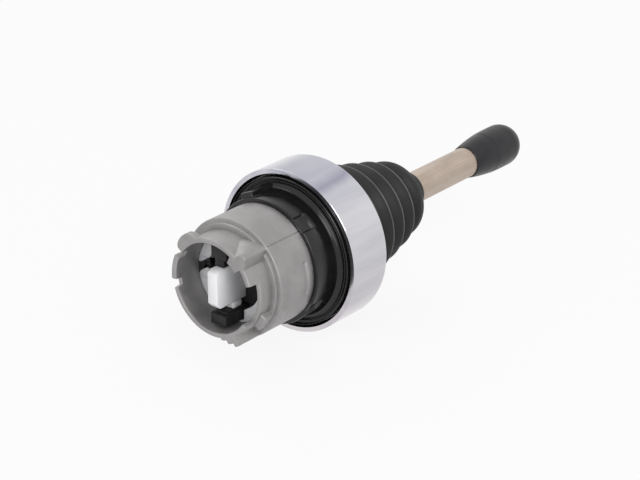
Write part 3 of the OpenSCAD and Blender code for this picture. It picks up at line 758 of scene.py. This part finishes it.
# ---------------------------------------------------------------- boot
FOLDS = 4
FIRST_CREST, FIRST_CREST_R = 12.4, 11.15
FOLD_PITCH = 4.2
FOLD_TAPER = 1.0
FOLD_DEPTH = 1.9
FOLD_BULGE = 1.6                             # power of the curve up to the crest
FOLD_STEPS, FRONT_STEPS = 12, 5
FIRST_ROW = 5                                # of fold 0, which rises from the rim without a valley
FRONT_HOLLOW = 0.18
VALLEY_SHARE = 0.68                          # of the pitch, from a crest back to its valley
CREST_LIP = ((0.07, 0.06), (0.09, 0.16), (0.03, 0.27), (-0.14, 0.36))     # from the crest
BOOT_WALL = 0.7
RIM_R = COLLAR_R - 0.2                       # the rim is clamped between collar and bezel
RIM_IN = COLLAR_R - 3.4
RIM_BACK = COLLAR_Z + 0.05
THROAT_R = BEZEL_HOLE_R - 0.3                # where it passes the hole of the bezel
SEAM = 2                                     # the valley where the two halves meet
DOME_L = 2.8
NECK_L = 3.2


def crest(i):
    return FIRST_CREST_R - i * FOLD_TAPER, FIRST_CREST + i * FOLD_PITCH


def valley(i):
    """Valley behind fold i."""
    r, z = crest(i)
    return r - FOLD_DEPTH, z - VALLEY_SHARE * FOLD_PITCH


def fold(i, r_top, z_top):
    """Convex rear side of a fold, from its valley to its crest."""
    vr, vz = valley(i)
    out = []
    for k in range(FOLD_STEPS + 1):
        t = k / FOLD_STEPS
        out.append((vr + (r_top - vr) * (1 - (1 - t) ** FOLD_BULGE), vz + (z_top - vz) * t))
    return out


def crest_lip(i):
    """Rounded lip that the crest turns over."""
    r, z = crest(i)
    return [(r + dr, z + dz) for dr, dz in CREST_LIP]


def front_side(i):
    """Front side of fold i, hollow, down to the next valley."""
    r0, z0 = crest_lip(i)[-1]
    vr, vz = valley(i + 1)
    return [(r0 + (vr - r0) * t, z0 + (vz - z0) * t + FRONT_HOLLOW * math.sin(math.pi * t))
            for t in [(k + 1) / (FRONT_STEPS + 1) for k in range(FRONT_STEPS)]]


def boot_outside(low, high):
    """Outer profile from the valley behind fold low to the valley behind fold high."""
    out = []
    for i in range(low, high):
        out += fold(i, *crest(i))[(0 if i else FIRST_ROW):] + crest_lip(i) + front_side(i)
    return out


def boot_inside(low, high):
    """Inner profile from the valley in front of fold high - 1 back to the crest of fold low."""
    out = []
    for i in reversed(range(low, high)):
        r, z = crest(i)
        vr, vz = valley(i + 1)
        out += [(vr - BOOT_WALL, vz + 0.1), (r - 1.4 * BOOT_WALL, z)]
    return out


def crest_highlight_rows(profile):
    """Rows of the profile where a crest lip turns over, painted lighter as a highlight."""
    tops = [crest_lip(i)[0] for i in range(FOLDS)]
    return {k + d for k, p in enumerate(profile) if p in tops for d in (-1, 0, 1)}


seam_r, seam_z = valley(SEAM)
lower = ([(RIM_R, RIM_BACK), (RIM_R, RIM_TOP - 0.05), (THROAT_R, RIM_TOP),
          (THROAT_R, BEZEL_Z - 0.25), (valley(0)[0] + 0.8, BEZEL_Z + 0.15)]
         + boot_outside(0, SEAM) + [(seam_r, seam_z)]
         + boot_inside(0, SEAM) + [(RIM_IN, BEZEL_Z), (RIM_IN, RIM_BACK)])
boot_low = lathe("boot_lower_folds", lower, "boot_rubber", 256, sharp=60)
# The crest lips take the lighter rubber of the painted highlight.
accent(boot_low, crest_highlight_rows(lower), len(lower), "boot_crest_highlight")

dome_r, dome_z = crest(FOLDS)[0], crest(FOLDS)[1] - 0.7
neck_r = LEVER_R + 1.45
neck_z = dome_z + DOME_L
neck_end = neck_z + NECK_L
hug_r = LEVER_R + 0.12                       # bore of the neck round the rod
dome = [(neck_r + (dome_r - neck_r) * math.cos(math.radians(a)),
         dome_z + DOME_L * math.sin(math.radians(a))) for a in range(8, 91, 8)]
upper = (boot_outside(SEAM, FOLDS) + fold(FOLDS, dome_r, dome_z) + dome
         + [(neck_r - 0.05, neck_z + 0.1), (neck_r - 0.22, neck_z + 0.25 * NECK_L),
            (neck_r - 0.42, neck_z + 0.55 * NECK_L), (neck_r - 0.62, neck_end - 0.45),
            (neck_r - 0.78, neck_end - 0.12), (neck_r - 0.95, neck_end),
            (hug_r + 0.08, neck_end), (hug_r, neck_end - 0.12), (hug_r, neck_z + 0.3),
            (hug_r + 0.6, neck_z - BOOT_WALL),
            ((neck_r + dome_r) / 2 - BOOT_WALL, dome_z + 0.75 * DOME_L - BOOT_WALL),
            (dome_r - 1.2 * BOOT_WALL, dome_z - 0.2)]
         + boot_inside(SEAM, FOLDS) + [(seam_r - BOOT_WALL, seam_z + 0.1)])
boot_high = lathe("boot_upper_folds", upper, "boot_rubber", 256, sharp=60)
# The crest lips take the lighter rubber of the painted highlight.
accent(boot_high, crest_highlight_rows(upper), len(upper), "boot_crest_highlight")
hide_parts("boot")
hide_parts("boot")
for half, first, second, z_from, z_to in (
        (boot_low, "housing", "gimbal", BEZEL_Z, seam_z - 0.4),
        (boot_high, "gimbal", "lever", seam_z + 0.4, dome_z)):
    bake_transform(half)

# ---------------------------------------------------------------- lever
rod = spindle("lever_rod_plated", rounded([
    (0, SOCKET_Z), (LEVER_R, SOCKET_Z), (LEVER_R, ROD_END), (0, ROD_END)], 0.4, 5, closed=False),
    "nickel_rod", 192)
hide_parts("lever_shaft")
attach(rod, "lever")

# The grip swells from its mouth to a round nose, with a faint step on the way.
GRIP_STEPS = 40
SWELL_L = 0.58 * (KNOB_END - KNOB_START)
SWELL_POWER = 2.3
NOSE_Z = KNOB_END - KNOB_R
MOUTH_R = LEVER_R + 0.22
GRIP_BORE_R = LEVER_R + 0.03
GRIP_BORE_END = KNOB_START + 9.7
grip_out = [(MOUTH_R - 0.12, KNOB_START), (MOUTH_R - 0.02, KNOB_START + 0.06)]
for k in range(GRIP_STEPS + 1):
    t = k / GRIP_STEPS
    ridge = 0.035 * step(t, 0.62, 0.06) - 0.05
    grip_out.append((MOUTH_R + (KNOB_R - MOUTH_R) * (1 - (1 - t) ** SWELL_POWER)
                     + ridge * min(1, 4 * t) * (1 - step(t, 0.9, 0.2)),
                     KNOB_START + 0.15 + (SWELL_L - 0.15) * t))
for a in range(0, 86, 4):
    grip_out.append((KNOB_R * math.cos(math.radians(a)),
                     NOSE_Z + KNOB_R * math.sin(math.radians(a))))
grip = spindle("knob_grip", [(0, GRIP_BORE_END), (GRIP_BORE_R, GRIP_BORE_END),
                             (GRIP_BORE_R, KNOB_START + 0.08)] + grip_out + [(0, KNOB_END)],
               "knob_plastic", 192, sharp=50)
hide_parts("knob")
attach(grip, "lever")

# ---------------------------------------------------------------- stage
# FLOOR_SIZE and the places and sizes of the lamps are in metres.
WHITE = (1, 1, 1, 1)
FLOOR_TONE = (0.80, 0.80, 0.81, 1)
FLOOR_Z = -16.6                              # clear of the grip when the lever is pressed down
FLOOR_SIZE = 6.0
FLOOR_GLOW = 0.88                            # share of plain white that the camera sees
FILL_LEVEL = 0.55                            # light of the world on the object
LAMPS = (("key_soft", (-0.50, 0.22, 0.46), 0.50, 2.0),                # place, size and watts
         ("fill_soft", (-0.25, 0.62, 0.22), 0.50, 1.3),
         ("rim_soft", (0.45, -0.10, 0.55), 0.45, 1.0))


def seen_rays(nt):
    """1 for camera, glossy and transmission rays, and 0 for the rest."""
    path = nt.nodes.new("ShaderNodeLightPath")
    return maths(nt, "MAXIMUM", path.outputs["Is Camera Ray"],
                 maths(nt, "MAXIMUM", path.outputs["Is Glossy Ray"],
                       path.outputs["Is Transmission Ray"]))


def lit(nt, kind, output, colour, strength=None):
    """Shader node of one colour."""
    n = nt.nodes.new(kind)
    n.inputs["Color"].default_value = colour
    if strength is not None:
        n.inputs["Strength"].default_value = strength
    return n.outputs[output]


def mixed_output(nt, kind, fac, first, second):
    """Output node fed by two shaders, of which the second takes the share fac."""
    mix = nt.nodes.new("ShaderNodeMixShader")
    nt.links.new(fac, mix.inputs["Fac"])
    nt.links.new(first, mix.inputs[1])
    nt.links.new(second, mix.inputs[2])
    nt.links.new(mix.outputs["Shader"], nt.nodes.new(kind).inputs["Surface"])


def floor_material():
    """Pale floor that is mostly plain white to the camera, so its shadow stays faint."""
    mat = bpy.data.materials.new("floor_pale")
    mat.use_nodes = True
    nt = mat.node_tree
    nt.nodes.clear()
    mixed_output(nt, "ShaderNodeOutputMaterial",
                 maths(nt, "MULTIPLY", seen_rays(nt), FLOOR_GLOW),
                 lit(nt, "ShaderNodeBsdfDiffuse", "BSDF", FLOOR_TONE),
                 lit(nt, "ShaderNodeEmission", "Emission", WHITE, 1.0))
    return mat


def softbox(name, where, size, power):
    """Round soft lamp that faces the origin."""
    light = bpy.data.lights.new(name, "AREA")
    light.shape = "DISK"
    light.size = size
    light.energy = power
    obj = linked(name, light)
    obj.location = where
    obj.rotation_mode = "QUATERNION"
    obj.rotation_quaternion = (-Vector(where)).to_track_quat("-Z", "Y")


half, z = FLOOR_SIZE / 2, FLOOR_Z * MM
floor_mesh = bpy.data.meshes.new("floor")
floor_mesh.from_pydata([(-half, -half, z), (half, -half, z), (half, half, z), (-half, half, z)],
                       [], [(0, 1, 2, 3)])
floor_mesh.materials.append(floor_material())
floor = linked("floor", floor_mesh)

world = bpy.data.worlds.new("studio")
bpy.context.scene.world = world
world.use_nodes = True
wt = world.node_tree
wt.nodes.clear()
mixed_output(wt, "ShaderNodeOutputWorld", seen_rays(wt),
             lit(wt, "ShaderNodeBackground", "Background", WHITE, FILL_LEVEL),
             lit(wt, "ShaderNodeBackground", "Background", WHITE, 1.0))
for lamp in LAMPS:
    softbox(*lamp)

# ---------------------------------------------------------------- camera
CAMERA_AZIMUTH = 219.2
CAMERA_ELEVATION = 24.2
CAMERA_DISTANCE = 332.8
CAMERA_TARGET = (-6.04, -1.72, 3.29)
SENSOR_WIDTH, LENS = 36, 112.5
az, el = math.radians(CAMERA_AZIMUTH), math.radians(CAMERA_ELEVATION)
back = Vector((math.sin(az) * math.cos(el), -math.cos(az) * math.cos(el), math.sin(el)))
camera = bpy.data.cameras.new("camera")
camera.sensor_width = SENSOR_WIDTH
camera.lens = LENS
camera.clip_start, camera.clip_end = 0.01, 20
eye = linked("camera", camera)
eye.location = (Vector(CAMERA_TARGET) + back * CAMERA_DISTANCE) * MM
eye.rotation_mode = "QUATERNION"
eye.rotation_quaternion = (-back).to_track_quat("-Z", "Y")
bpy.context.scene.camera = eye
bpy.context.scene.view_settings.view_transform = "Standard"
